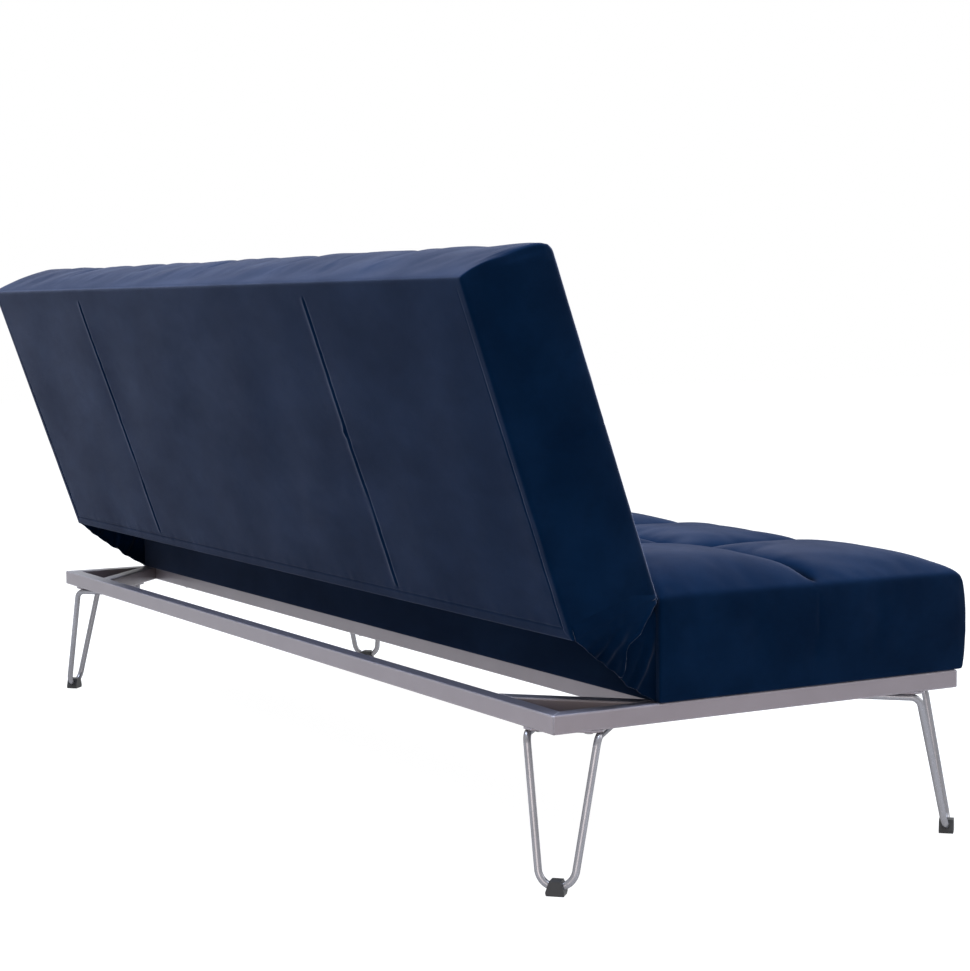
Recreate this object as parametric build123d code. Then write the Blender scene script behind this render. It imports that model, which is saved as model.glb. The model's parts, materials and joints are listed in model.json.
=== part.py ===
"""Click-clack futon sofa bed on a square-tube steel base with hairpin legs.

Units are millimetres and +Z is up. +X runs along the sofa, the front faces -Y, and the backrest is
modelled upright. The origin is on the floor, at the centre of the upright sofa's bounding box.

The seat is fixed to the base. The backrest turns on two click-clack hinges, one near each end, and
lies flat on the rear of the base as a bed. Seat and back are each described in a flat cushion frame:
x along the sofa, y away from the hinge line, z up from the underside. The back is then raised.
"""
from build123d import *
from math import acos, atan2, cos, degrees, radians, sin, sqrt, tan
import os

# ---------------------------------------------------------------- base frame
base_length = 1820.0
base_depth = 660.0
base_top = 230.0
tube_size = 25.0
tube_wall = 1.5
tube_edge_r = 2.0
brace_reach = 132.0           # outer corner to the brace's centre line, along the bisector

# ---------------------------------------------------------------- hairpin legs
rod_r = 5.0
rod_spacing_top = 93.4
rod_spacing_foot = 44.0       # between the straight legs' lines, at the foot
rod_setback_top = 47.9        # outer corner to the rods' top bends, along the bisector
rod_setback_foot = 12.3
tang_reach = 133.0            # outer corner to the end of the horizontal tangs
tang_bend_r = 14.0
foot_fill = 0.97              # share of the foot's half width that the U bend takes up
plate_t = 3.0
plate_outer_edge = 42.0       # outer corner to the plate's outer edge, along the bisector
plate_inner_edge = 141.0
plate_width = 104.0
plate_inset = 1.0             # behind the rails' outer faces
weld_gap = 0.1

# ---------------------------------------------------------------- foot caps
cap_height = 19.0
cap_shoulder = 4.5
cap_shoulder_width = 25.0
cap_base_width = 23.0
cap_top_width = 15.0
cap_depth = 20.0
cap_floor = 5.0               # plastic under the rod
cap_clearance = 0.15

# ---------------------------------------------------------------- fasteners
bolt_r = 3.0
bolt_hole_gap = 0.3
bolt_head_r = 5.8
bolt_head_h = 4.0
plate_bolt_grip = 8.0
plate_bolt_setback = 60.0     # outer corner to the two bolts under the rails, along the bisector
plate_bolt_spacing = 64.0
seat_bolt_bite = 25.0         # depth of the seat bolts in the timber
seat_bolt_inset = 160.0       # end of the base to the outermost seat bolts
seat_bolts_per_rail = 3
arm_bolt_bite = 16.0
arm_bolt_spacing = 52.0

# ---------------------------------------------------------------- cushions
cushion_overhang = 1.5        # cushions past each end of the base
seat_depth = 510.0
back_height = 480.0
cushion_thick = 135.0         # underside to the edge of the top, at the sides
seam_rise = 19.0              # edge of the top up to the tufting seams
crest_rise = 38.0             # edge of the top up to the middle of a pad
pad_columns = 6
pad_rows = 2
free_edge_bulge = 7.0
free_edge_r = 22.0
hinge_edge_r = 10.0
end_edge_r = 20.0
plan_corner_r = 16.0
underside_r = 5.0
cover_t = 3.0
foam_gap = 0.3
seat_overhang = 10.0          # seat's front edge past the base's front rail
mid_rail_cover = 15.0         # seat's rear face past the mid rail's rear face
seat_lift = 0.4               # base top to the seat's underside

# ---------------------------------------------------------------- underside panels
dust_cover_border = 50.0
rear_panel_border = 16.0
panel_gap = 0.3
panel_seam_from_end = 456.0
panel_seam_width = 3.0
panel_seam_depth = 1.2

# ---------------------------------------------------------------- inner frames
side_pad = 18.0
timber_t = 22.0
timber_h = 55.0
cross_rails = 2
strap_count = 7
strap_width = 50.0
strap_t = 2.0

# ---------------------------------------------------------------- backrest motion
recline_travel = 70.8         # degrees from upright to flat
forward_travel = 12.0         # degrees forward of upright, to free the ratchet
flat_gap = 4.0                # seat's rear face to the flat back's hinge-side face
bed_lift = 0.8                # base top to the flat back's rear panel

# ---------------------------------------------------------------- click-clack hinges
hinge_inset = 60.0            # cushion's end to the seat arm
cheek_t = 3.0
hub_t = 5.0
side_gap = 0.3                # between the hub plate and each cheek
housing_r = 15.0
band_t = 2.5
tooth_tip_gap = 0.4
tooth_h = 1.3
tooth_count = 9
tooth_pitch = 14.0            # degrees
pin_r = 4.0
pin_running_gap = 0.05
pin_head_r = 7.0
pin_head_t = 2.5
pocket_gap = 2.0
arm_width = 28.0
arm_shoulder = 22.0           # slope cut off the neck's top corner
arm_cover_gap = 1.0
neck_side = 2.0               # pivot to the near edge of an arm's neck
arm_foot_length = 100.0
arm_foot_height = 38.0
arm_slot_gap = 0.8
sweep_margin = 3.0

# ---------------------------------------------------------------- end gussets
gusset_t = 1.5
gusset_inset = 4.0            # cushion's end to the gusset
gusset_gap = 0.3

# ---------------------------------------------------------------- derived places
half_length = base_length / 2
half_depth = base_depth / 2
tube_bottom = base_top - tube_size
tube_mid_z = base_top - tube_size / 2
seat_rear_y = seat_depth - half_depth - seat_overhang
mid_rail_y = seat_rear_y - mid_rail_cover - tube_size / 2
seat_z = base_top + seat_lift
pivot_y = seat_rear_y + flat_gap
bed_z = base_top + bed_lift
pivot_z = bed_z + cushion_thick
cushion_end = half_length + cushion_overhang
timber_inset = cover_t + side_pad
timber_z0 = cover_t + foam_gap
timber_z1 = timber_z0 + timber_h
cavity_top = timber_z1 + strap_t + foam_gap
bolt_hole_r = bolt_r + bolt_hole_gap

cheek_x = cushion_end - hinge_inset            # seat arm, against the seat timber's end face
hub_x = cheek_x + cheek_t + side_gap           # back arm, against the back timber's end face
cup_x = hub_x + hub_t + side_gap
stack_end_x = cup_x + cheek_t
pocket_r = housing_r + pocket_gap
pocket_x0 = cheek_x - pin_head_t - pocket_gap
pocket_x1 = stack_end_x + pin_head_t + 1.0
tooth_tip_r = housing_r - band_t - tooth_tip_gap
hub_r = tooth_tip_r - tooth_h
arm_side = flat_gap + cover_t + arm_cover_gap  # pivot to an arm's near edge
tang_z = tube_bottom - plate_t - weld_gap - rod_r

nodes = {}


# ================================================================= helpers
def corner_frames():
    """Name and frame of each base corner: local x inwards along the bisector."""
    for side, sx in (("left", 1), ("right", -1)):
        for end, sy in (("front", -1), ("rear", 1)):
            turn = degrees(atan2(-sy, -sx))
            yield f"{end}_{side}", Location((sx * half_length, sy * half_depth, 0), (0, 0, turn))


def tube_along_x(length):
    """Square tube centred on the origin."""
    outer = RectangleRounded(tube_size, tube_size, tube_edge_r)
    bore = Rectangle(tube_size - 2 * tube_wall, tube_size - 2 * tube_wall)
    return extrude(Plane.YZ * (outer - bore), length / 2, both=True)


def mitred_tube(length):
    """Tube along X with both ends cut at 45 degrees; its long side is at -Y."""
    reach = length / 2
    side = tube_size / 2
    outline = Polyline((-reach, -side), (reach, -side), (reach - tube_size, side),
                       (tube_size - reach, side), close=True)
    return tube_along_x(length) & extrude(make_face(outline), tube_size, both=True)


def bolt(grip):
    """Bolt whose head seats at z = 0 from below, with the shank above it."""
    return extrude(RegularPolygon(bolt_head_r, 6), -bolt_head_h) + extrude(Circle(bolt_r), grip)


def hole(x, y, z0, z1):
    """Clearance hole for a bolt."""
    return Pos(x, y, z0) * extrude(Circle(bolt_hole_r), z1 - z0)


def block(x0, x1, y0, y1, z0, z1):
    """Box between two corners."""
    return Pos(x0, y0, z0) * Box(x1 - x0, y1 - y0, z1 - z0, align=(Align.MIN, Align.MIN, Align.MIN))


def cylinder_x(radius, x0, x1):
    """Cylinder along X."""
    return extrude(Plane.YZ.offset(x0) * Circle(radius), x1 - x0)


def both_ends(name, shape):
    """Add a piece at the left end and its mirror image at the right end."""
    nodes[f"{name}_left"] = shape
    nodes[f"{name}_right"] = mirror(shape, Plane.YZ)


# ================================================================= base
def plate_bolt_places():
    """Local places of one leg plate's bolts."""
    yield plate_bolt_setback, plate_bolt_spacing / 2
    yield plate_bolt_setback, -plate_bolt_spacing / 2
    yield brace_reach, 0


def seat_bolt_places():
    """Rail, timber and place of each bolt that holds the seat to the base."""
    timber_front = seat_rear_y - seat_depth + timber_inset
    timber_rear = seat_rear_y - timber_inset
    front_y = (timber_front + tube_size - half_depth) / 2
    rear_y = (timber_rear + mid_rail_y - tube_size / 2) / 2
    span = base_length - 2 * seat_bolt_inset
    for i in range(seat_bolts_per_rail):
        x = span * (i / (seat_bolts_per_rail - 1) - 0.5)
        yield "base_front_rail", "seat_free_timber", x, front_y
        yield "base_mid_rail", "seat_hinge_timber", x, rear_y


def make_base():
    """Perimeter tubes, mid rail and corner braces."""
    side_y = half_depth - tube_size / 2
    side_x = half_length - tube_size / 2
    long_rail = mitred_tube(base_length)
    end_rail = mitred_tube(base_depth)
    nodes["base_front_rail"] = Pos(0, -side_y, tube_mid_z) * long_rail
    nodes["base_rear_rail"] = Pos(0, side_y, tube_mid_z) * Rot(0, 0, 180) * long_rail
    nodes["base_left_rail"] = Pos(side_x, 0, tube_mid_z) * Rot(0, 0, 90) * end_rail
    nodes["base_right_rail"] = Pos(-side_x, 0, tube_mid_z) * Rot(0, 0, -90) * end_rail
    nodes["base_mid_rail"] = Pos(0, mid_rail_y, tube_mid_z) * tube_along_x(base_length - 2 * tube_size)
    mid_front = mid_rail_y - tube_size / 2
    mid_rear = mid_rail_y + tube_size / 2
    bays = {
        "front": block(-half_length, half_length, -half_depth, mid_front, tube_bottom, base_top),
        "rear": block(-half_length, half_length, mid_rear, half_depth, tube_bottom, base_top),
    }
    for name, frame in corner_frames():
        bay = bays[name.split("_")[0]]
        nodes[f"corner_brace_{name}"] = Pos(0, 0, tube_mid_z) * frame * corner_brace() & bay
    drill_base()


def corner_brace():
    """Tube across a corner, cut to meet the inner faces of both rails."""
    inner_corner = tube_size * sqrt(2)
    reach = 2 * brace_reach
    outline = Polyline((inner_corner, 0), (inner_corner + reach, reach),
                       (inner_corner + reach, -reach), close=True)
    keep = extrude(make_face(outline), tube_size, both=True)
    return Pos(brace_reach, 0, 0) * Rot(0, 0, 90) * tube_along_x(2 * reach) & keep


def drill_base():
    """Holes for the plate bolts in the tubes' lower walls, and for the seat bolts right through."""
    skirt = tube_bottom - tube_wall
    for name, frame in corner_frames():
        end, side = name.split("_")
        for x, y in plate_bolt_places():
            drill = frame * hole(x, y, skirt, tube_bottom + 2 * tube_wall)
            for node in (f"base_{end}_rail", f"base_{side}_rail", f"corner_brace_{name}"):
                nodes[node] -= drill
    for rail, _, x, y in seat_bolt_places():
        nodes[rail] -= hole(x, y, skirt, base_top + tube_wall)


# ================================================================= legs
def leg_path():
    """Centre line of one bent rod, from tang to tang."""
    foot_z = cap_floor + rod_r
    top = rod_spacing_top / 2
    foot = rod_spacing_foot / 2
    leg = Vector(rod_setback_foot - rod_setback_top, foot - top, foot_z - tang_z)
    turn = radians(leg.get_angle(Vector(0, -1, 0)))
    foot_bend_r = foot_fill * foot / tan(turn / 2)
    points = [(tang_reach, top, tang_z), (rod_setback_top, top, tang_z), (rod_setback_foot, foot, foot_z),
              (rod_setback_foot, -foot, foot_z), (rod_setback_top, -top, tang_z), (tang_reach, -top, tang_z)]
    return FilletPolyline(*points, radius=[tang_bend_r, foot_bend_r, foot_bend_r, tang_bend_r])


def rod_along(path, radius):
    """Round rod swept along the leg's path."""
    return sweep(Plane(path @ 0, z_dir=path % 0) * Circle(radius), path=path)


def leg_plate():
    """Steel plate under a corner, trimmed to stay behind the rails' outer faces."""
    side = plate_width / 2
    back_off = plate_inset * sqrt(2)
    outline = Polyline(
        (plate_outer_edge, plate_outer_edge - back_off), (side + back_off, side), (plate_inner_edge, side),
        (plate_inner_edge, -side), (side + back_off, -side), (plate_outer_edge, back_off - plate_outer_edge),
        close=True)
    plate = Pos(0, 0, tube_bottom - plate_t) * extrude(make_face(outline), plate_t)
    for x, y in plate_bolt_places():
        plate -= hole(x, y, tube_bottom - 2 * plate_t, tube_bottom + plate_t)
    return plate


def foot_cap(path):
    """Moulded cap clipped round the foot of the U bend."""
    base, shoulder, top = cap_base_width / 2, cap_shoulder_width / 2, cap_top_width / 2
    outline = Polyline((-base, 0), (base, 0), (shoulder, cap_shoulder), (top, cap_height),
                       (-top, cap_height), (-shoulder, cap_shoulder), close=True)
    body = extrude(Plane.YZ * make_face(outline), cap_depth / 2, both=True)
    return Pos(rod_setback_foot, 0, 0) * body - rod_along(path, rod_r + cap_clearance)


def make_legs():
    """Plate, rod and cap at each corner, and all the plates' bolts as one group."""
    path = leg_path()
    rod = rod_along(path, rod_r)
    plate = leg_plate()
    cap = foot_cap(path)
    bolts = []
    for name, frame in corner_frames():
        nodes[f"leg_plate_{name}"] = frame * plate
        nodes[f"leg_rod_{name}"] = frame * rod
        nodes[f"foot_cap_{name}"] = frame * cap
        for x, y in plate_bolt_places():
            bolts.append(frame * Pos(x, y, tube_bottom - plate_t) * bolt(plate_bolt_grip))
    nodes["plate_bolts"] = Compound(bolts)


# ================================================================= cushions
def pad_arcs(start, end, count, edge, seam, crest):
    """Row of crowned pads between two edges, creased at the seams."""
    pitch = (end - start) / count
    arcs = []
    for i in range(count):
        a, b = start + i * pitch, start + (i + 1) * pitch
        za = edge if i == 0 else seam
        zb = edge if i == count - 1 else seam
        arcs.append(ThreePointArc((a, za), ((a + b) / 2, crest), (b, zb)))
    return arcs


def corners_at(face, *corners):
    """Vertices of a sketch at the given points."""
    return [v for v in face.vertices() if any((Vector(v) - Vector(*c)).length < 0.01 for c in corners)]


def cushion_block(depth, inset=0.0):
    """Tufted block in the flat cushion frame, drawn inwards by the inset.

    It is where three extrusions meet: the front view, the end view and the plan.
    """
    low = inset
    edge = cushion_thick - inset
    seam = edge + seam_rise
    crest = edge + crest_rise
    end = cushion_end - inset
    near, far = inset, depth - inset

    front = make_face(Wire([
        Line((-end, low), (-end, edge)), *pad_arcs(-end, end, pad_columns, edge, seam, crest),
        Line((end, edge), (end, low)), Line((end, low), (-end, low))]))
    front = fillet(corners_at(front, (-end, edge), (end, edge)), end_edge_r - inset)
    front = chamfer(corners_at(front, (-end, low), (end, low)), underside_r - inset)

    bulge = ThreePointArc((far, edge), (far + free_edge_bulge, (edge + low) / 2), (far, low))
    side = make_face(Wire([
        Line((near, low), (near, edge)), *pad_arcs(near, far, pad_rows, edge, seam, crest),
        bulge, Line((far, low), (near, low))]))
    side = fillet(corners_at(side, (near, edge)), hinge_edge_r - inset)
    side = fillet(corners_at(side, (far, edge)), free_edge_r - inset)
    side = fillet(corners_at(side, (near, low), (far, low)), underside_r - inset)

    # the plan starts before the hinge side, so that only the free edge's corners are rounded
    span = far + free_edge_bulge - near + 2 * plan_corner_r
    plan_mid = far + free_edge_bulge - span / 2
    plan = Pos(0, plan_mid) * RectangleRounded(2 * end, span, plan_corner_r - inset)
    body = extrude(Plane.YZ * side, 2 * cushion_end, both=True)
    body &= extrude(Plane.XZ * front, 2 * depth, both=True)
    return body & extrude(plan, 2 * cushion_thick)


def arm_outline(timber_mid, grow=0.0):
    """Hinge arm at +Y of the pivot: a neck down to a foot that lies along the timber's end."""
    neck = neck_side - grow
    near = arm_side - grow
    far = arm_side + arm_width + grow
    low = timber_mid - arm_foot_height / 2 - grow
    high = timber_mid + arm_foot_height / 2 + grow
    foot_end = arm_side + arm_foot_length + grow
    outline = Polyline((near, low), (foot_end, low), (foot_end, high), (far, high),
                       (far, grow - arm_shoulder), (far - arm_shoulder, grow), (neck, grow),
                       (neck, -housing_r / 2), (near, -housing_r), close=True)
    return make_face(outline)


def arm_bolt_places(timber_mid):
    """Bolt centres on an arm's foot, from the pivot."""
    foot_mid = arm_side + arm_foot_length / 2
    yield foot_mid - arm_bolt_spacing / 2, timber_mid
    yield foot_mid + arm_bolt_spacing / 2, timber_mid


def mirrored_pair(shape):
    """A shape together with its mirror image across the sofa."""
    return shape + mirror(shape, Plane.YZ)


def cushion_cover(depth, border, pocket):
    """Sewn skin with a window for the panel underneath."""
    window = block(border - cushion_end, cushion_end - border, border, depth - border, -1, cover_t + 1)
    return cushion_block(depth) - cushion_block(depth, cover_t) - window - mirrored_pair(pocket)


def cushion_panel(depth, border):
    """Flat cloth panel in the cover's window."""
    edge = border + panel_gap
    return block(edge - cushion_end, cushion_end - edge, edge, depth - edge, 0, cover_t)


def cushion_foam(depth, timber_end, cuts):
    """Foam pad that wraps round the timber frame."""
    cavity_x = timber_end + foam_gap
    cavity = block(-cavity_x, cavity_x, timber_inset - foam_gap, depth - timber_inset + foam_gap,
                   0, cavity_top)
    return cushion_block(depth, cover_t + foam_gap) - cavity - mirrored_pair(cuts)


def timber_frame(name, depth, timber_end, drill):
    """Perimeter timbers, cross timbers and the straps stretched over them."""
    rail_x = timber_end - timber_t
    near, far = timber_inset, depth - timber_inset
    pieces = {
        "hinge_timber": block(-rail_x, rail_x, near, near + timber_t, timber_z0, timber_z1),
        "free_timber": block(-rail_x, rail_x, far - timber_t, far, timber_z0, timber_z1),
        "end_timber_left": block(rail_x, timber_end, near, far, timber_z0, timber_z1) - drill,
    }
    pieces["end_timber_right"] = mirror(pieces["end_timber_left"], Plane.YZ)
    cross = []
    for i in range(cross_rails):
        x = 2 * rail_x * ((i + 1) / (cross_rails + 1) - 0.5)
        cross.append(block(x - timber_t / 2, x + timber_t / 2, near + timber_t, far - timber_t,
                           timber_z0, timber_z1))
    straps = []
    for i in range(strap_count):
        x = 2 * rail_x * ((i + 0.5) / strap_count - 0.5)
        straps.append(block(x - strap_width / 2, x + strap_width / 2, near, far,
                            timber_z1, timber_z1 + strap_t))
    pieces["cross_timbers"] = Compound(cross)
    pieces["straps"] = Compound(straps)
    return {f"{name}_{piece}": shape for piece, shape in pieces.items()}


def make_cushion(name, panel, depth, lift, pivot_back, border, timber_end, place):
    """All the pieces of one cushion, made in the flat cushion frame and moved into place."""
    to_pivot = Pos(0, -pivot_back, pivot_z - lift)
    timber_mid = timber_z0 + timber_h / 2 + lift - pivot_z
    slot_x = timber_end - arm_slot_gap
    slot = extrude(Plane.YZ.offset(slot_x) * arm_outline(timber_mid, arm_slot_gap), pocket_x1 - slot_x)
    pocket = cylinder_x(pocket_r, pocket_x0, pocket_x1)
    drill_x = timber_end - arm_bolt_bite - bolt_hole_gap
    drills = [to_pivot * Pos(0, y, z) * cylinder_x(bolt_hole_r, drill_x, timber_end + 1)
              for y, z in arm_bolt_places(timber_mid)]
    pieces = timber_frame(name, depth, timber_end, drills[0] + drills[1])
    pieces[f"{name}_cover"] = cushion_cover(depth, border, to_pivot * pocket)
    pieces[panel] = cushion_panel(depth, border)
    pieces[f"{name}_foam"] = cushion_foam(depth, timber_end, to_pivot * (pocket + slot))
    for node, shape in pieces.items():
        nodes[node] = place(shape)


def place_seat(shape):
    """From the flat cushion frame to the seat, which runs forwards from the hinge line."""
    return Pos(0, seat_rear_y, seat_z) * mirror(shape, Plane.XZ)


def raised():
    """Frame at the pivot, turned from the flat bed to the upright back."""
    return Location((0, pivot_y, pivot_z), (recline_travel, 0, 0))


def place_back(shape):
    """From the flat cushion frame to the upright back."""
    return raised() * Pos(0, 0, -cushion_thick) * shape


def make_cushions():
    """Seat and back, the seams of the back's rear panel, and the bolts under the seat."""
    make_cushion("seat", "seat_dust_cover", seat_depth, seat_z, flat_gap, dust_cover_border, cheek_x,
                 place_seat)
    make_cushion("back", "back_rear_panel", back_height, bed_z, 0, rear_panel_border, hub_x, place_back)
    seam_x = cushion_end - panel_seam_from_end
    half = panel_seam_width / 2
    groove = block(seam_x - half, seam_x + half, 0, back_height, -1, panel_seam_depth)
    nodes["back_rear_panel"] -= place_back(mirrored_pair(groove))
    bolts = []
    grip = seat_z + timber_z0 + seat_bolt_bite - tube_bottom
    for _, timber, x, y in seat_bolt_places():
        bolts.append(Pos(x, y, tube_bottom) * bolt(grip))
        drill = hole(x, y, seat_z - 1, tube_bottom + grip + bolt_hole_gap)
        nodes["seat_cover"] -= drill
        nodes[timber] -= drill
    nodes["seat_bolts"] = Compound(bolts)


# ================================================================= hinges
def sector(radius, start, sweep_angle):
    """Pie-shaped sketch from the start angle, in degrees."""
    steps = [start, start + sweep_angle / 2, start + sweep_angle]
    a, m, b = ((radius * cos(radians(t)), radius * sin(radians(t))) for t in steps)
    return make_face(Wire([Line((0, 0), a), ThreePointArc(a, m, b), Line(b, (0, 0))]))


def toothed_hub():
    """Hub with saw teeth on the side away from its arm."""
    hub = Circle(hub_r)
    first = 90 - tooth_pitch
    for i in range(tooth_count):
        a = radians(first + i * tooth_pitch)
        b = radians(first + (i + 1) * tooth_pitch)
        root = hub_r * cos(a), hub_r * sin(a)
        tip = tooth_tip_r * cos(b), tooth_tip_r * sin(b)
        tooth = Polyline((0, 0), root, tip, close=True)
        hub += make_face(tooth)
    return hub


def make_hinges():
    """Seat arm, housing cup, back arm and pin at the left end, mirrored to the right."""
    pivot = Pos(0, pivot_y, pivot_z)
    seat_mid = seat_z + timber_z0 + timber_h / 2 - pivot_z
    back_mid = bed_z + timber_z0 + timber_h / 2 - pivot_z
    pin_bore = Circle(pin_r + pin_running_gap)
    pin_seat = Circle(pin_r)

    seat_outline = mirror(arm_outline(seat_mid), Plane.YZ) + Circle(housing_r) - pin_seat
    back_outline = arm_outline(back_mid) + toothed_hub() - pin_bore
    for y, z in arm_bolt_places(seat_mid):
        seat_outline -= Pos(-y, z) * Circle(bolt_hole_r)
    for y, z in arm_bolt_places(back_mid):
        back_outline -= Pos(y, z) * Circle(bolt_hole_r)
    seat_arm = extrude(Plane.YZ.offset(cheek_x) * seat_outline, cheek_t)
    back_arm = extrude(Plane.YZ.offset(hub_x) * back_outline, hub_t)

    band_start = recline_travel + forward_travel + sweep_margin
    band_end = 360 - degrees(acos(neck_side / housing_r)) - sweep_margin
    band = sector(housing_r, band_start, band_end - band_start) - Circle(housing_r - band_t)
    band_x = cheek_x + cheek_t
    cup = extrude(Plane.YZ.offset(band_x) * band, cup_x - band_x)
    cup += extrude(Plane.YZ.offset(cup_x) * (Circle(housing_r) - pin_seat), cheek_t)

    pin = cylinder_x(pin_r, cheek_x - pin_head_t, stack_end_x + pin_head_t)
    pin += cylinder_x(pin_head_r, cheek_x - pin_head_t, cheek_x)
    pin += cylinder_x(pin_head_r, stack_end_x, stack_end_x + pin_head_t)

    both_ends("hinge_seat_arm", pivot * seat_arm)
    both_ends("hinge_cup", pivot * cup)
    both_ends("hinge_pin", pivot * pin)
    both_ends("hinge_back_arm", raised() * back_arm)

    sideways = Rot(0, -90, 0)
    seat_bolts = [pivot * Pos(cheek_x + cheek_t, -y, z) * sideways * bolt(cheek_t + arm_bolt_bite)
                  for y, z in arm_bolt_places(seat_mid)]
    back_bolts = [raised() * Pos(hub_x + hub_t, y, z) * sideways * bolt(hub_t + arm_bolt_bite)
                  for y, z in arm_bolt_places(back_mid)]
    nodes["hinge_seat_bolts"] = Compound(seat_bolts + [mirror(b, Plane.YZ) for b in seat_bolts])
    nodes["hinge_back_bolts"] = Compound(back_bolts + [mirror(b, Plane.YZ) for b in back_bolts])


# ================================================================= end gussets
def make_gussets():
    """Fabric web that closes each end of the wedge between the seat and the raised back."""
    tilt = radians(recline_travel - 90)
    along = Vector(cos(tilt), sin(tilt))
    down = Vector(sin(tilt), -cos(tilt))
    seat_edge_y = seat_rear_y + gusset_gap
    low_z = seat_z + underside_r
    apex = Vector(pivot_y, pivot_z) + along * hinge_edge_r + down * gusset_gap
    corner = Vector(pivot_y, pivot_z) + along * (cushion_thick - underside_r) + down * gusset_gap
    outline = Polyline((seat_edge_y, apex.Y), (apex.X, apex.Y), (corner.X, corner.Y), (seat_edge_y, low_z),
                       close=True)
    web = extrude(Plane.YZ.offset(cushion_end - gusset_inset) * make_face(outline), -gusset_t)
    both_ends("end_gusset", web)


# ================================================================= build
def make_all():
    """Build every node, centre the sofa on its bounding box and write one STEP per node."""
    make_base()
    make_legs()
    make_cushions()
    make_hinges()
    make_gussets()
    whole = Compound(list(nodes.values())).bounding_box()
    shift = -(whole.min.Y + whole.max.Y) / 2
    os.makedirs("parts", exist_ok=True)
    for name, shape in nodes.items():
        export_step(Pos(0, shift, 0) * shape, f"parts/{name}.step")
    print(f"{len(nodes)} nodes, shift in y {shift:.4f}")
    print(f"pivot at y {pivot_y + shift:.4f}, z {pivot_z:.4f}")


make_all()
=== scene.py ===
"""Looks of the click-clack futon sofa bed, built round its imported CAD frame.

Lengths are metres in the CAD frame: +X along the sofa, -Y to the front, +Z up. Each cushion is made in a
flat cushion frame (x along the sofa, y away from the hinge line, z up from the underside), swollen by
cloth simulation, detailed with seams and folds, and then moved to its place.
"""

import json
import math

import bpy
import numpy as np
from mathutils import Matrix, Vector
from mathutils.bvhtree import BVHTree


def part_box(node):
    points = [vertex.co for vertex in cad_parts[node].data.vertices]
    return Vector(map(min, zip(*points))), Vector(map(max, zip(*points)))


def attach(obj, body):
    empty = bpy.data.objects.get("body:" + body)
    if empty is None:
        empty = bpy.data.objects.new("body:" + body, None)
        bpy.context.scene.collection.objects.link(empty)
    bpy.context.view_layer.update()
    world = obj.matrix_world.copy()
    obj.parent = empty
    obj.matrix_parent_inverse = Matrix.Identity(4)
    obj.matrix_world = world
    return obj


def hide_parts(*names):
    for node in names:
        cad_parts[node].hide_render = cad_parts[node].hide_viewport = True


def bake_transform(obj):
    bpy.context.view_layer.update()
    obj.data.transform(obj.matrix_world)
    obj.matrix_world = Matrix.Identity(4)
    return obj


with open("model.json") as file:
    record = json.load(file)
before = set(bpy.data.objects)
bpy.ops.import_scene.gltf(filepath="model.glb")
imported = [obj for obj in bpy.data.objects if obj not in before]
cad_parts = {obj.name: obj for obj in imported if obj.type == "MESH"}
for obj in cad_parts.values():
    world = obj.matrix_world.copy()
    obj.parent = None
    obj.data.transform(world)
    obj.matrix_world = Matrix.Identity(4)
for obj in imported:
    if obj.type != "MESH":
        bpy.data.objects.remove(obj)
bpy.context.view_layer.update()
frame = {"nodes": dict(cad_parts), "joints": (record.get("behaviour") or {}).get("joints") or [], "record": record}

# ---------------------------------------------------------------- sizes, as in the CAD source
PADS_X, PADS_Y = 6, 2
THICK = 0.135                 # underside to the edge of the tufted top
SEAM_RISE = 0.019             # edge of the top up to the tufting seams
CREST_RISE = 0.037            # edge of the top up to the middle of a pad, 1 mm under the CAD's
BULGE = 0.007                 # free edge past the flat cushion's outline
BACK_HEIGHT = 0.480
HEM = 0.016                   # rear panel's topstitching, in from its edges
PANEL_SEAM_FROM_END = 0.456   # rear panel's upright seams, in from the cushion's ends

joint = frame["joints"][0]
PIVOT = Vector(joint["pos_m"])
TRAVEL = math.radians(joint["range_deg"][1])
TRAVEL_DEG = math.degrees(TRAVEL)
seat_lo, seat_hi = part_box("seat_cover")
HALF = seat_hi.x              # half the cushions' length
SEAT_DEPTH = seat_hi.y - seat_lo.y - BULGE
SEAT_REAR = seat_hi.y
SEAT_Z = seat_lo.z
RAIL_Y = [corner.y - PIVOT.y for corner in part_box("base_rear_rail")]  # its faces, from the hinge line
PANEL_SEAM_X = HALF - PANEL_SEAM_FROM_END


# ---------------------------------------------------------------- small maths
def smooth(a, b, v):
    """0 where v is before a, 1 where it is past b, smooth between."""
    t = np.clip((v - a) / (b - a), 0, 1)
    return t * t * (3 - 2 * t)


def hump(v, width):
    """1 where v is 0, and next to nothing past twice the width."""
    return np.exp(-(v / width) ** 2)


def waves(x, y, seed, size, squeeze=1.0, turn=0.0):
    """Repeatable soft noise of about -1 to 1, with folds of about the given size."""
    count = 14
    level = 0.75
    rng = np.random.default_rng(seed)
    c, s = math.cos(turn), math.sin(turn)
    u, v = (c * x + s * y) / size, (c * y - s * x) / (size * squeeze)
    total = np.zeros_like(x)
    for _ in range(count):
        heading = rng.uniform(0, 2 * math.pi)
        rate = 2 * math.pi * rng.uniform(0.5, 1.5)
        phase = rng.uniform(0, 2 * math.pi)
        total += np.sin(rate * (u * math.cos(heading) + v * math.sin(heading)) + phase)
    return total / math.sqrt(count) * level


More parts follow.
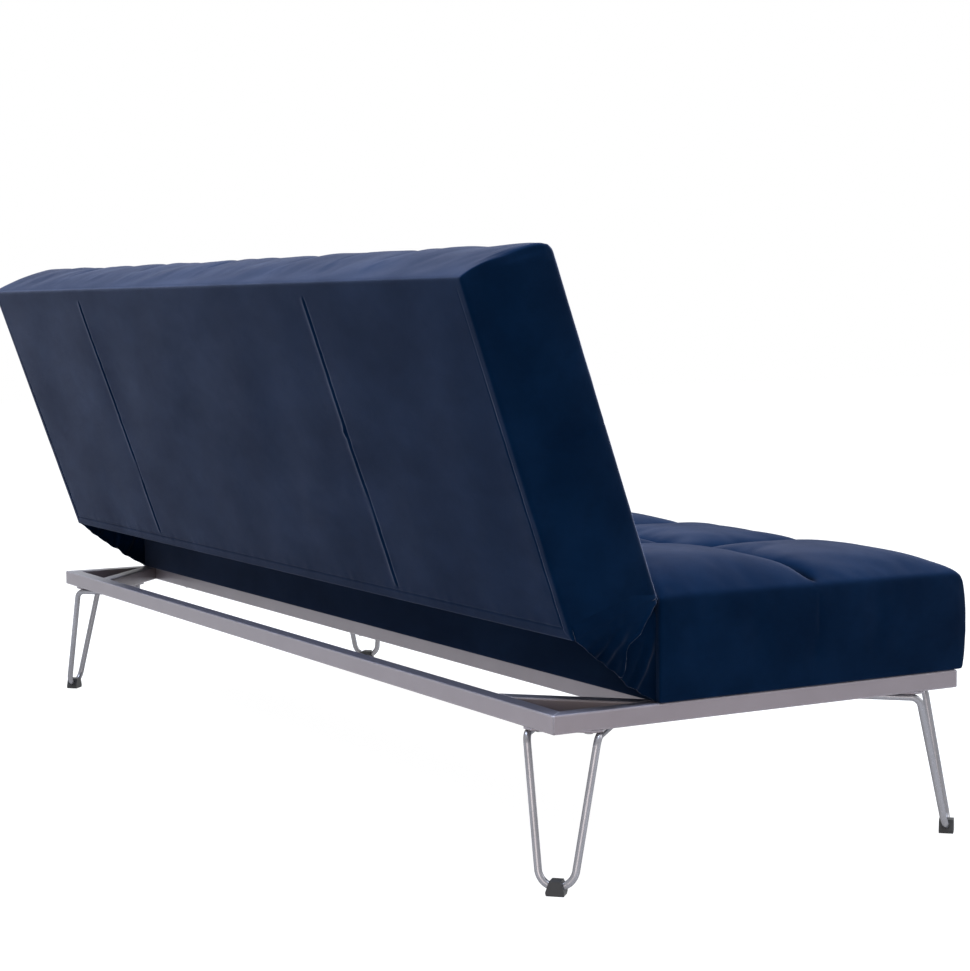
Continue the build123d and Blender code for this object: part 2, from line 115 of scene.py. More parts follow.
def grid_lines(lo, hi, marks, step):
    """Sorted grid lines: exactly at each mark and its offsets, and about a step apart at most."""
    least_gap = 0.0006
    spare = 0.2                   # share of a step by which a gap may be longer
    wanted = {place + way * offset for place, offsets in marks for offset in offsets for way in (-1, 1)}
    fixed = sorted({round(v, 6) for v in (lo, hi, *wanted) if lo <= v <= hi})
    kept = [fixed[0]]
    for v in fixed[1:]:
        if v - kept[-1] > least_gap:
            kept.append(v)
    kept[-1] = hi
    lines = []
    for a, b in zip(kept, kept[1:]):
        count = max(1, math.ceil((b - a) / step - spare))
        lines += [a + (b - a) * i / count for i in range(count)]
    return np.array(lines + [hi])


# ---------------------------------------------------------------- meshes
def mesh_object(name, points, faces, smooth_shade=True):
    """New object from arrays."""
    mesh = bpy.data.meshes.new(name)
    mesh.from_pydata([tuple(p) for p in points], [], [tuple(f) for f in faces])
    mesh.update()
    if smooth_shade:
        mesh.polygons.foreach_set("use_smooth", [True] * len(mesh.polygons))
    obj = bpy.data.objects.new(name, mesh)
    bpy.context.scene.collection.objects.link(obj)
    return obj


def grid_faces(index, flip=False):
    """Quads between neighbours in a 2-D array of point numbers."""
    quads = np.stack([index[:-1, :-1], index[1:, :-1], index[1:, 1:], index[:-1, 1:]], -1).reshape(-1, 4)
    return quads[:, ::-1] if flip else quads


def read_vectors(items, key):
    """One row of three numbers for each item of a mesh's collection."""
    values = np.empty(len(items) * 3, np.float32)
    items.foreach_get(key, values)
    return values.reshape(-1, 3).astype(float)


def get_points(mesh):
    return read_vectors(mesh.vertices, "co")


def get_normals(mesh):
    return read_vectors(mesh.vertex_normals, "vector")


def set_points(mesh, points):
    mesh.vertices.foreach_set("co", points.astype(np.float32).ravel())
    mesh.update()


def move_out(obj, detail):
    """Move each point along its normal by what detail(points, normals) says."""
    p, n = get_points(obj.data), get_normals(obj.data)
    set_points(obj.data, p + n * detail(p, n)[:, None])


def apply_modifiers(obj):
    """Replace the object's mesh by what its modifiers make of it."""
    bpy.context.view_layer.update()
    dg = bpy.context.evaluated_depsgraph_get()
    new = bpy.data.meshes.new_from_object(obj.evaluated_get(dg))
    obj.modifiers.clear()
    old = obj.data
    obj.data = new
    bpy.data.meshes.remove(old)
    new.name = obj.name


def subdivide(obj):
    """Split each face in four, with the surface smoothed."""
    mod = obj.modifiers.new("Subdivide", "SUBSURF")
    mod.levels = mod.render_levels = 1
    apply_modifiers(obj)


def thicken(obj, thickness):
    """Give a sheet its thickness, behind its faces."""
    mod = obj.modifiers.new("Thickness", "SOLIDIFY")
    mod.thickness = thickness
    mod.offset = -1
    apply_modifiers(obj)


# ---------------------------------------------------------------- cushions' tufted form
PUFF = 3.8                    # power of a pad's profile: a higher one is boxier
CORNER_POWER = 4              # how squarely the two profiles of a pad meet
LEAN_CENTRE = 0.57            # share of the depth at which lean changes nothing

# grid lines beside seams and edges, as distances from them
NEAR_SEAM = (0, 0.0025, 0.0065, 0.013)
NEAR_EDGE = (0, 0.0015, 0.004, 0.009, 0.015, 0.023)
NEAR_UNDERSIDE = (0, 0.003, 0.008, 0.014)
NEAR_TOP = (0, 0.004, 0.010, 0.018)
GRID_STEP = 0.0135

UNDERSIDE_R = 0.004           # edge radii at the underside and at the top
TOP_R = 0.015
HINGE_R_SHARE = 0.45          # share of a radius that is left at the hinge side
LONG_R_LEAST = 0.002          # reach of the rounding along x: this and a share of the radius
LONG_R_SHARE = 0.12


def pad_profile(t, count, end_puff=PUFF):
    """Height share along one direction: 0 at the outer edges, a half at seams, 1 at crests."""
    u = np.clip(t, 0, 1) * count
    i = np.minimum(np.floor(u), count - 1)
    s = 2 * (u - i) - 1
    outer = ((i == 0) & (s < 0)) | ((i == count - 1) & (s > 0))
    return 1 - np.where(outer, np.abs(s) ** end_puff, 0.5 * np.abs(s) ** PUFF)


def pad_height(x, y, depth, lean, end_puff):
    """Rise of the tufted top above its edge; with lean, the row at the hinge is the higher one."""
    fx = np.maximum(pad_profile((x + HALF) / (2 * HALF), PADS_X, end_puff), 1e-3)
    fy = np.maximum(pad_profile(y / depth, PADS_Y), 1e-3)
    crest = CREST_RISE * (1 + lean * (LEAN_CENTRE - y / depth))
    return crest * (fx ** -CORNER_POWER + fy ** -CORNER_POWER - 1) ** (-1 / CORNER_POWER)


def seam_distance(x, y, depth):
    """Distance to the nearest tufting seam, across it, for seams along y and along x."""
    pitch_x, pitch_y = 2 * HALF / PADS_X, depth / PADS_Y
    u = (x + HALF) / pitch_x
    i = np.clip(np.round(u), 1, PADS_X - 1)
    dx = np.abs(u - i) * pitch_x
    v = y / pitch_y
    j = np.clip(np.round(v), 1, PADS_Y - 1)
    return dx, np.abs(v - j) * pitch_y


def edge_distance(x, y, depth):
    """Distance in from the nearest edge of the flat cushion's outline."""
    return np.minimum(HALF - np.abs(x), np.minimum(y, depth - y))


def rounded(p, depth):
    """A box's points with its edges rounded, more at the top and less at the hinge side."""
    up = smooth(0.02, THICK - 0.02, p[:, 2])
    away = smooth(0.0, 0.05, p[:, 1])
    r = (UNDERSIDE_R + (TOP_R - UNDERSIDE_R) * up) * (HINGE_R_SHARE + (1 - HINGE_R_SHARE) * away)
    radii = np.stack([LONG_R_LEAST + LONG_R_SHARE * r, r, r], 1)
    inner = np.clip(p, (-HALF, 0, 0) + radii, (HALF, depth, THICK) - radii)
    out = (p - inner) / radii
    length = np.linalg.norm(out, axis=1, keepdims=True)
    return inner + out / np.maximum(length, 1e-9) * radii * (length > 1e-9)


def cushion_lattice(name, depth, extra_x, extra_y):
    """Closed rounded box of quads whose lines follow the seams, and which of its points are the top's."""
    pitch_x, pitch_y = 2 * HALF / PADS_X, depth / PADS_Y
    marks_x = [(-HALF + i * pitch_x, NEAR_SEAM) for i in range(1, PADS_X)]
    marks_x += [(-HALF, NEAR_EDGE), (HALF, NEAR_EDGE), *extra_x]
    marks_y = [(j * pitch_y, NEAR_SEAM) for j in range(1, PADS_Y)]
    marks_y += [(0, NEAR_EDGE), (depth, NEAR_EDGE), *extra_y]
    xs = grid_lines(-HALF, HALF, marks_x, GRID_STEP)
    ys = grid_lines(0, depth, marks_y, GRID_STEP)
    zs = grid_lines(0, THICK, [(0, NEAR_UNDERSIDE), (THICK, NEAR_TOP)], GRID_STEP)
    nx, ny, nz = len(xs), len(ys), len(zs)
    i, j, k = np.meshgrid(np.arange(nx), np.arange(ny), np.arange(nz), indexing="ij")
    skin = (i == 0) | (i == nx - 1) | (j == 0) | (j == ny - 1) | (k == 0) | (k == nz - 1)
    index = -np.ones(skin.shape, int)
    index[skin] = np.arange(skin.sum())
    sides = [(index[:, :, 0], True), (index[:, :, -1], False), (index[:, 0, :], False),
             (index[:, -1, :], True), (index[0, :, :], True), (index[-1, :, :], False)]
    faces = np.concatenate([grid_faces(side, flip) for side, flip in sides])

    p = rounded(np.stack([xs[i[skin]], ys[j[skin]], zs[k[skin]]], 1), depth)
    up = np.clip(p[:, 2] / THICK, 0, 1)
    p[:, 1] += np.where(j[skin] == ny - 1, BULGE * 4 * up * (1 - up), 0)
    return mesh_object(name, p, faces), k[skin] == nz - 1


# ---------------------------------------------------------------- cushions' swelling
CLOTH = {
    "quality": 5,
    "mass": 0.35,
    "air_damping": 2.0,
    "tension_stiffness": 18,
    "compression_stiffness": 18,
    "shear_stiffness": 8,
    "bending_stiffness": 0.8,
    "use_pressure": True,
    "uniform_pressure_force": 4.0,
    "shrink_min": -0.012,     # spare cloth
}
CLOTH_FRAMES = 20
HELD_BELOW = 0.03             # cloth held at the underside and beside the hinge line
HELD_AT_HINGE = 0.012
HELD_AT_SEAM = 0.001
HELD_AT_EDGE = 0.008
PRESHAPED = 0.72              # share of a pad's rise that is there before it swells
SWELL_MOST = 0.024            # the cloth moves no further than this
SWELL_AT_SIDES = 0.35         # share of the swelling that the sides keep
SWELL_SHARE = 0.4             # share of the tops' last rise that is simulated, the rest being drawn
SWELL_SCALE = (0.2, 2.5)      # least and most by which the simulated rise is scaled to fit
CREST_FROM = 0.96             # share of the crest's rise past which a point is on a crest


def inflate(obj, free):
    """Cloth simulation: the free points swell under pressure, and the others are held."""
    group = obj.vertex_groups.new(name="held")
    for weight, members in ((0.0, free), (1.0, ~free)):
        group.add([int(i) for i in np.nonzero(members)[0]], weight, "REPLACE")
    mod = obj.modifiers.new("Cloth", "CLOTH")
    for key, value in CLOTH.items():
        setattr(mod.settings, key, value)
    mod.settings.vertex_group_mass = "held"
    mod.settings.effector_weights.gravity = 0
    mod.collision_settings.use_collision = False
    mod.point_cache.frame_start = 1
    mod.point_cache.frame_end = CLOTH_FRAMES
    scene = bpy.context.scene
    scene.frame_start, scene.frame_end = 1, CLOTH_FRAMES
    for number in range(1, CLOTH_FRAMES + 1):
        scene.frame_set(number)
    dg = bpy.context.evaluated_depsgraph_get()
    moved = get_points(obj.evaluated_get(dg).data)
    obj.modifiers.clear()
    obj.vertex_groups.clear()
    scene.frame_set(1)
    return moved


def swelling(obj, flat, shape, top, target, depth):
    """How far each point of the shape moves as the cloth swells, with the crests brought to their target."""
    dx, dy = seam_distance(flat[:, 0], flat[:, 1], depth)
    at_seam = top & ((dx < HELD_AT_SEAM) | (dy < HELD_AT_SEAM))
    at_edge = top & ((np.abs(flat[:, 0]) > HALF - HELD_AT_EDGE) | (flat[:, 1] < HELD_AT_EDGE))
    free = (flat[:, 2] > HELD_BELOW) & (flat[:, 1] > HELD_AT_HINGE) & ~at_seam & ~at_edge
    move = inflate(obj, free) - shape
    length = np.linalg.norm(move, axis=1, keepdims=True)
    move *= np.minimum(1, SWELL_MOST / np.maximum(length, 1e-9))
    move[~top] *= SWELL_AT_SIDES
    crest = top & (target > CREST_FROM * CREST_RISE)
    need = (target - (shape[:, 2] - THICK))[crest].mean()
    got = max(move[crest, 2].mean(), 1e-4)
    move[top] *= np.clip(need / got, *SWELL_SCALE)
    return move


def swollen_cushion(name, depth, extra_x=(), extra_y=(), lean=0.0, end_puff=PUFF):
    """Tufted cushion in the flat cushion frame: pads swollen by cloth simulation between held seams."""
    obj, top = cushion_lattice(name, depth, extra_x, extra_y)
    flat = get_points(obj.data)
    target = pad_height(flat[:, 0], flat[:, 1], depth, lean, end_puff)
    shape = flat.copy()
    seam_line = SEAM_RISE * np.minimum(1, target / SEAM_RISE)
    pad = target - seam_line
    shape[top, 2] += (seam_line + PRESHAPED * pad)[top]
    set_points(obj.data, shape)
    move = swelling(obj, flat, shape, top, target, depth)
    drawn = np.zeros_like(move)
    drawn[top, 2] = (1 - PRESHAPED) * pad[top]
    move[top] = SWELL_SHARE * move[top] + (1 - SWELL_SHARE) * drawn[top]
    shape += move
    set_points(obj.data, shape)
    subdivide(obj)
    return obj


# ---------------------------------------------------------------- cushions' seams and folds
GROOVE, GROOVE_WIDTH = 0.0145, 0.0070
PUCKER, PUCKER_REACH, PUCKER_SIZE = 0.0009, 0.020, 0.030
TOP_FOLD, TOP_FOLD_SIZE = 0.0007, 0.085


def tufting_detail(p, n, depth, seed):
    """Crisp seams, puckers beside them and soft folds, as an outward move along the normals."""
    x, y = p[:, 0], p[:, 1]
    on_top = smooth(0.25, 0.75, n[:, 2])
    dx, dy = seam_distance(x, y, depth)
    d = np.minimum(dx, dy)
    along = np.where(dx < dy, y, x)
    inset = edge_distance(x, y, depth)
    groove = -GROOVE * np.exp(-d / GROOVE_WIDTH) * smooth(0.002, 0.030, inset)
    pucker = PUCKER * np.exp(-d / PUCKER_REACH) * (1 - np.exp(-d / 0.004))
    pucker *= waves(along, d, seed=seed, size=PUCKER_SIZE, squeeze=3.0)
    folds = TOP_FOLD * waves(x, y, seed=seed + 1, size=TOP_FOLD_SIZE, squeeze=2.4, turn=0.6)
    folds *= smooth(0.006, 0.050, inset)
    return on_top * (groove + pucker + folds)


# ---------------------------------------------------------------- shader nodes
def put(tree, socket, value):
    """Link another node's output to the input, or set the input's constant."""
    if isinstance(value, bpy.types.NodeSocket):
        tree.links.new(value, socket)
    else:
        socket.default_value = value


def node(tree, kind, **values):
    """Shader node with its properties set, and its inputs set or linked, by name."""
    made = tree.nodes.new(kind)
    for key, value in values.items():
        if hasattr(made, key):
            setattr(made, key, value)
        else:
            put(tree, made.inputs[key.replace("_", " ")], value)
    return made


def maths(tree, operation, *terms):
    """Result of a sum on sockets and numbers."""
    made = node(tree, "ShaderNodeMath", operation=operation)
    for socket, term in zip(made.inputs, terms):
        put(tree, socket, term)
    return made.outputs[0]


def ranged(tree, value, start, end, low=0.0, high=1.0):
    """Value carried from the range start to end over to the range low to high, and held in it."""
    made = node(tree, "ShaderNodeMapRange", Value=value,
                From_Min=start, From_Max=end, To_Min=low, To_Max=high)
    return made.outputs["Result"]


def up_share(tree, normal):
    """Upward part of a normal."""
    return node(tree, "ShaderNodeSeparateXYZ", Vector=normal).outputs["Z"]


def object_coords(tree, scale=(1, 1, 1)):
    coords = node(tree, "ShaderNodeTexCoord").outputs["Object"]
    return node(tree, "ShaderNodeMapping", Vector=coords, Scale=scale).outputs["Vector"]


def cloth_coords(tree, scale=(1, 1, 1), turn=0.0):
    """Coordinates in the flat cloth, kept on each cloth piece before it is put in its place."""
    coords = node(tree, "ShaderNodeAttribute", attribute_name="cloth").outputs["Vector"]
    made = node(tree, "ShaderNodeMapping", Vector=coords, Scale=scale, Rotation=(0, 0, turn))
    return made.outputs["Vector"]


def noise_value(tree, coords, scale, detail=2.0, roughness=0.5):
    made = node(tree, "ShaderNodeTexNoise", Vector=coords, Scale=scale, Detail=detail, Roughness=roughness)
    return made.outputs["Fac"]


def ramp(tree, value, stops):
    made = node(tree, "ShaderNodeValToRGB", Fac=value)
    while len(made.color_ramp.elements) < len(stops):
        made.color_ramp.elements.new(0.5)
    for element, (place, colour) in zip(made.color_ramp.elements, stops):
        element.position = place
        element.color = (*colour, 1)
    return made.outputs["Color"]


def uneven(tree, noise, colour, share, start=0.35, end=0.65):
    """Colour that a noise darkens in places to a share of itself."""
    dark = tuple(c * share for c in colour)
    return ramp(tree, noise, [(start, dark), (end, colour)])


def mixed(tree, share, colour, other):
    """Colour mixed with a fixed one by a share of 0 to 1."""
    made = node(tree, "ShaderNodeMix", data_type="RGBA")
    put(tree, made.inputs[0], share)
    put(tree, made.inputs[6], colour)
    put(tree, made.inputs[7], (*other, 1))
    return made.outputs[2]


def bump(tree, height, strength, distance, normal=None):
    """Normal bumped by a height, on top of another normal if one is given."""
    made = node(tree, "ShaderNodeBump", Height=height, Strength=strength, Distance=distance)
    if normal is not None:
        put(tree, made.inputs["Normal"], normal)
    return made.outputs["Normal"]


def new_material(name, colour, roughness, metallic=0.0):
    """New material, its node tree, and a function that sets or links inputs of its surface by name."""
    mat = bpy.data.materials.new(name)
    mat.use_nodes = True
    tree = mat.node_tree
    bsdf = tree.nodes["Principled BSDF"]

    def surface(**values):
        for key, value in values.items():
            put(tree, bsdf.inputs[key.replace("_", " ")], value)

    surface(Base_Color=(*colour, 1), Roughness=roughness, Metallic=metallic)
    return mat, tree, surface


# ---------------------------------------------------------------- materials
VELVET_DARK = (0.0006, 0.0074, 0.0240)
VELVET_MID = (0.0008, 0.0092, 0.0290)
VELVET_LIGHT = (0.0014, 0.0118, 0.0365)
VELVET_TINT = (0.785, 0.805, 1.0)
VELVET_SHEEN = 0.44
# painted shade: colour and sheen lose up to this share at the bottom of a crease
CREASE_PAINTED_SHADE = 0.85           # share of the light that the bottom of a crease misses
PAINT = (0.256, 0.217, 0.229)
# painted shade: darker bluish colour on the frame's upward faces
PAINTED_TOP_SHADE = (0.19, 0.185, 0.235)
# painted highlight on the frame's upward edges
PAINTED_EDGE_HIGHLIGHT = (0.70, 0.69, 0.78)   # upward edges only
EDGE_RADIUS = 0.0030
METAL_TINT = (0.10, 0.10, 0.11)


def velvet_material():
    """Short-pile velvet: brushed patches, fine pile and a soft sheen, with painted shade darkening colour and
    sheen where a cloth piece marks it, as in its creases.
    """
    mat, tree, surface = new_material("velvet", VELVET_MID, 0.9)
    patches = noise_value(tree, cloth_coords(tree, (0.5, 0.9, 1.0), 0.45), 9.0, detail=5.0, roughness=0.62)
    colour = ramp(tree, patches, [(0.34, VELVET_DARK), (0.5, VELVET_MID), (0.68, VELVET_LIGHT)])
    # painted shade kept on each cloth piece darkens its colour and sheen
    painted_shade = node(tree, "ShaderNodeAttribute", attribute_name="painted_shade").outputs["Fac"]
    painted_light_share = maths(tree, "MULTIPLY_ADD", painted_shade, -CREASE_PAINTED_SHADE, 1.0)
    shaded = node(tree, "ShaderNodeVectorMath", operation="SCALE", Vector=colour, Scale=painted_light_share)
    sheen = ranged(tree, patches, 0.3, 0.7, 0.80 * VELVET_SHEEN, 1.15 * VELVET_SHEEN)
    pile = noise_value(tree, cloth_coords(tree, (1, 0.5, 1)), 1400.0, roughness=0.6)
    brushed = noise_value(tree, cloth_coords(tree), 45.0, detail=3.0, roughness=0.6)
    surface(Base_Color=shaded.outputs[0], Specular_IOR_Level=0.01, Sheen_Roughness=0.32,
            Sheen_Tint=(*VELVET_TINT, 1), Sheen_Weight=maths(tree, "MULTIPLY", sheen, painted_light_share),
            Normal=bump(tree, brushed, 0.06, 0.002, bump(tree, pile, 0.20, 0.0006)))
    return mat


def paint_material():
    """Powder coat: fine orange peel and slight unevenness, with painted shade on its tops and painted highlights
    on its upward edges.
    """
    mat, tree, surface = new_material("frame_paint", PAINT, 0.36, 0.12)
    face = node(tree, "ShaderNodeNewGeometry").outputs["True Normal"]
    edge = node(tree, "ShaderNodeBevel", Radius=EDGE_RADIUS).outputs["Normal"]
    # mask of the upward faces that get the painted shade
    on_top = ranged(tree, up_share(tree, face), 0.6, 0.95)
    same = node(tree, "ShaderNodeVectorMath", operation="DOT_PRODUCT")
    put(tree, same.inputs[0], edge)
    put(tree, same.inputs[1], face)
    # edge mask for the painted highlight, kept to upward edges below
    on_edge = ranged(tree, same.outputs["Value"], 0.99, 0.88)
    facing_up = ranged(tree, up_share(tree, edge), -0.15, 0.35, 0.0, 0.9)
    coat = uneven(tree, noise_value(tree, object_coords(tree), 14.0, detail=3.0), PAINT, 0.93)
    coat = mixed(tree, on_top, coat, PAINTED_TOP_SHADE)
    coat = mixed(tree, maths(tree, "MULTIPLY", on_edge, facing_up), coat, PAINTED_EDGE_HIGHLIGHT)
    peel = noise_value(tree, object_coords(tree), 900.0)
    surface(Base_Color=coat, Normal=bump(tree, peel, 0.08, 0.0004, edge))
    return mat


def brushed_material(name, colour, roughness, metallic=1.0):
    """Satin metal with fine drawn lines."""
    mat, tree, surface = new_material(name, colour, roughness, metallic)
    fine = noise_value(tree, object_coords(tree, (1, 1, 0.05)), 1600.0)
    broad = noise_value(tree, object_coords(tree, (1, 1, 0.15)), 60.0, detail=3.0, roughness=0.6)
    surface(Base_Color=uneven(tree, broad, colour, 0.86), Specular_Tint=(*METAL_TINT, 1),
            Roughness=ranged(tree, fine, 0.0, 1.0, roughness - 0.06, roughness + 0.08),
            Normal=bump(tree, fine, 0.06, 0.0003))
    return mat


def plain_material(name, colour, roughness, scale, strength):
    """Matte solid with a little grain and colour variation."""
    mat, tree, surface = new_material(name, colour, roughness)
    grain = noise_value(tree, object_coords(tree), scale, detail=3.0)
    surface(Base_Color=uneven(tree, grain, colour, 0.85), Normal=bump(tree, grain, strength, 0.0005))
    return mat


def wood_material(name, colour):
    """Sawn softwood with its grain along the sofa."""
    mat, tree, surface = new_material(name, colour, 0.7)
    rings = noise_value(tree, object_coords(tree, (0.15, 1, 1)), 60.0, detail=4.0, roughness=0.6)
    surface(Base_Color=uneven(tree, rings, colour, 0.62, 0.3, 0.7), Normal=bump(tree, rings, 0.2, 0.0005))
    return mat


MATERIALS = {
    "velvet": velvet_material(),
    "frame_paint": paint_material(),
    "leg_steel": brushed_material("leg_steel", (0.31, 0.305, 0.325), 0.24, 0.6),
    "foot_plastic": plain_material("foot_plastic", (0.022, 0.022, 0.024), 0.55, 700.0, 0.15),
    "zinc": brushed_material("zinc", (0.36, 0.36, 0.37), 0.42),
    "timber": wood_material("timber", (0.55, 0.38, 0.21)),
    "webbing": plain_material("webbing", (0.55, 0.50, 0.42), 0.9, 500.0, 0.3),
    "foam": plain_material("foam", (0.72, 0.66, 0.50), 0.95, 900.0, 0.4),
    "dust_cloth": plain_material("dust_cloth", (0.016, 0.016, 0.018), 0.95, 1200.0, 0.3),
}


def keep_cloth_coords(obj):
    """Remember where each point lies in the flat cloth, for the velvet's pattern."""
    layer = obj.data.attributes.new("cloth", "FLOAT_VECTOR", "POINT")
    layer.data.foreach_set("vector", get_points(obj.data).astype(np.float32).ravel())


def keep_painted_shade(obj, shade_share):
    """Remember how much painted shade each point of a cloth piece gets, from 0 to 1, for the velvet."""
    layer = obj.data.attributes.new("painted_shade", "FLOAT", "POINT")
    layer.data.foreach_set("value", shade_share.astype(np.float32))


def paint_crease_shade(obj, depth, width):
    """Painted shade in the bottoms of the tufting creases, on the cushion's top."""
    x, y, z = get_points(obj.data).T
    dx, dy = seam_distance(x, y, depth)
    shade_share = hump(np.minimum(dx, dy), width) * smooth(0.0, 0.018, edge_distance(x, y, depth))
    keep_painted_shade(obj, shade_share * (z > THICK - 0.012))


def dress(obj, slot):
    """Give an object the material of a record slot."""
    obj.data.materials.clear()
    obj.data.materials.append(MATERIALS[slot])


def finish_piece(obj, slot, body=None):
    """Give a piece the material of a record slot, and its body."""
    if "cloth" not in obj.data.attributes:
        keep_cloth_coords(obj)
    dress(obj, slot)
    if body:
        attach(obj, body)


# ---------------------------------------------------------------- carried-over CAD nodes
slot_of = {s["node"]: s["material_slot"] for s in frame["record"]["subparts"]}
for name, obj in frame["nodes"].items():
    dress(obj, slot_of[name])


# ---------------------------------------------------------------- seat cushion
def place_seat(obj):
    """From the flat cushion frame to the seat, which runs forwards from the hinge line."""
    obj.data.transform(Matrix.Translation((0, SEAT_REAR, SEAT_Z)) @ Matrix.Diagonal((1, -1, 1, 1)))
    obj.data.flip_normals()


def make_seat():
    seat = swollen_cushion("seat_cushion", SEAT_DEPTH, lean=0.64, end_puff=2.9)
    move_out(seat, lambda p, n: tufting_detail(p, n, SEAT_DEPTH, seed=11))
    keep_cloth_coords(seat)
    paint_crease_shade(seat, SEAT_DEPTH, width=0.0070)
    place_seat(seat)
    finish_piece(seat, "velvet", "base")
    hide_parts("seat_cover", "seat_foam")


# ---------------------------------------------------------------- back cushion
STITCH, STITCH_WIDTH = 0.0011, 0.0014
HEM_RISE = 0.0004             # cloth outside the stitching, above the panel
HEM_PUCKER = 0.00035
SEAM_RIDGE, SEAM_GROOVE = 0.0013, 0.0007
SEAM_PUCKER, SEAM_PUCKER_REACH = 0.0004, 0.010
KINK, KINK_Y = 0.0022, 0.256  # where one of the panel's seams was pulled askew
LOOSE, LOOSE_SIZE = 0.0006, 0.22
DIP, DIP_WIDTH = 0.0035, 0.022
EDGE_FOLD, EDGE_FOLD_SIZE = 0.0016, 0.11


def hem_detail(x, y):
    """Topstitched hem round the rear panel: clear at the ends, weaker below, and faint towards the top."""
    from_end, from_long_edge = HALF - np.abs(x), np.minimum(y, BACK_HEIGHT - y)
    inset = np.minimum(from_end, from_long_edge)
    along = np.where(from_end < from_long_edge, y, x)
    show = np.where(from_end < from_long_edge, 1.0, np.where(y < BACK_HEIGHT / 2, 0.5, 0.0))
    show = show * (1 - 0.85 * smooth(0.20, 0.40, y))
    stitching = -STITCH * show * hump(np.abs(inset - HEM), STITCH_WIDTH)
    flange = HEM_RISE * show * smooth(HEM, HEM - 0.003, inset) * smooth(0.0, 0.005, inset)
    pucker = HEM_PUCKER * hump(inset - HEM - 0.004, 0.010)
    pucker *= waves(along, inset, seed=31, size=0.030, squeeze=2.0) * show
    return stitching + flange + pucker


def panel_seam_detail(x, y):
    """The rear panel's two upright seams, each a ridge beside a groove, with puckers along it."""
    seams = np.zeros_like(x)
    for centre in (-PANEL_SEAM_X, PANEL_SEAM_X):
        wobble = 0.0004 * waves(y, y * 0, seed=41, size=0.12)
        d = x - centre - wobble
        seams += SEAM_RIDGE * hump(d - 0.0042, np.where(d > 0.0042, 0.0046, 0.0024))
        seams -= SEAM_GROOVE * hump(d, 0.0022)
        if centre < 0:
            seams += KINK * hump(d - 0.0060, 0.0045) * hump(y - KINK_Y - 0.4 * d, 0.006)
        near = np.exp(-np.abs(d) / SEAM_PUCKER_REACH)
        seams += SEAM_PUCKER * near * waves(y, d, seed=43, size=0.026, squeeze=3.0)
    start, end = HEM + 0.004, HEM + 0.012
    return smooth(start, end, y) * smooth(start, end, BACK_HEIGHT - y) * seams


def rear_panel_detail(p, n):
    """Hem, seams and slight waviness of the rear panel, which stays flat where it lies on the rear rail."""
    x, y = p[:, 0], p[:, 1]
    on_rear = smooth(0.5, 0.9, -n[:, 2])
    loose = LOOSE * waves(x, y, seed=51, size=LOOSE_SIZE, squeeze=1.6, turn=0.3)
    loose *= smooth(0.0, 0.06, edge_distance(x, y, BACK_HEIGHT))
    move = hem_detail(x, y) + panel_seam_detail(x, y) + loose
    rail_front, rail_rear = RAIL_Y
    on_rail = smooth(rail_front - 0.014, rail_front - 0.003, y)
    on_rail *= smooth(rail_rear + 0.014, rail_rear + 0.003, y)
    return on_rear * (move - on_rail * np.maximum(move, 0))


def free_edge_detail(p, n):
    """Soft diagonal folds in the top border, dipping at the ends of the tufting seams."""
    x, z = p[:, 0], p[:, 2]
    on_edge = smooth(0.35, 0.8, n[:, 1])
    dx, _ = seam_distance(x, x * 0, BACK_HEIGHT)
    dip = -DIP * hump(dx, DIP_WIDTH) * smooth(0.4 * THICK, THICK, z)
    folds = EDGE_FOLD * waves(x, z, seed=61, size=EDGE_FOLD_SIZE, squeeze=2.6, turn=0.75)
    return on_edge * (dip + folds * smooth(0.0, 0.03, z))


def place_back(obj):
    """From the flat cushion frame to the upright back."""
    obj.data.transform(Matrix.Translation(PIVOT) @ Matrix.Rotation(TRAVEL, 4, "X")
                       @ Matrix.Translation((0, 0, -THICK)))


def make_back():
    near_panel_seam = (0, 0.0016, 0.0042, 0.0085)
    near_hem = near_panel_seam[:3]
    extra_x = [(-PANEL_SEAM_X, near_panel_seam), (PANEL_SEAM_X, near_panel_seam),
               (HEM - HALF, near_hem), (HALF - HEM, near_hem)]
    extra_y = [(HEM, near_hem), (BACK_HEIGHT - HEM, near_hem)]
    back = swollen_cushion("back_cushion", BACK_HEIGHT, extra_x, extra_y, end_puff=2.3)
    move_out(back, lambda p, n: tufting_detail(p, n, BACK_HEIGHT, seed=21) + rear_panel_detail(p, n)
             + free_edge_detail(p, n))
    keep_cloth_coords(back)
    paint_crease_shade(back, BACK_HEIGHT, width=0.0052)
    place_back(back)
    finish_piece(back, "velvet", "backrest")
    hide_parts("back_cover", "back_foam", "back_rear_panel")
    return back


# ---------------------------------------------------------------- end gussets
# Angles are degrees about the hinge line, from straight down, along the seat's rear face, to the back.
# each fold: where it starts and its angle there, its angle at the hem, and its rise
FOLDS = [(0.045, 5.5, 18.0, 0.0040), (0.060, 53.6, 49.0, 0.0036), (0.086, 57.8, 58.0, 0.0032),
         (0.114, 62.0, 65.0, 0.0026), (0.095, 41.0, 38.0, 0.0026)]
# the flap's lip beside the seat: distance from the hinge line and angle
LIP = [(0.0, 25), (0.011, 33), (0.020, 36), (0.033, 36.7), (0.053, 34.4), (0.072, 40), (0.081, 39),
       (0.090, 34.6), (0.104, 31), (0.140, 31)]
RECESS = 0.011                # cloth beside the seat, in from the cushions' ends
GUSSET_R = 0.1350             # hinge line to the hem at seat and back
GUSSET_INNER_R = 0.0005
GUSSET_FORWARD = 0.004        # the gusset's tip lies this far in front of the hinge line
GUSSET_THICK = 0.0010
START_ANGLE = -5              # where the gusset starts, hidden in the seat cushion
ONTO_BACK = 0.024             # width of the strip on the back's end face, and its least width
ONTO_BACK_LEAST = 0.0100


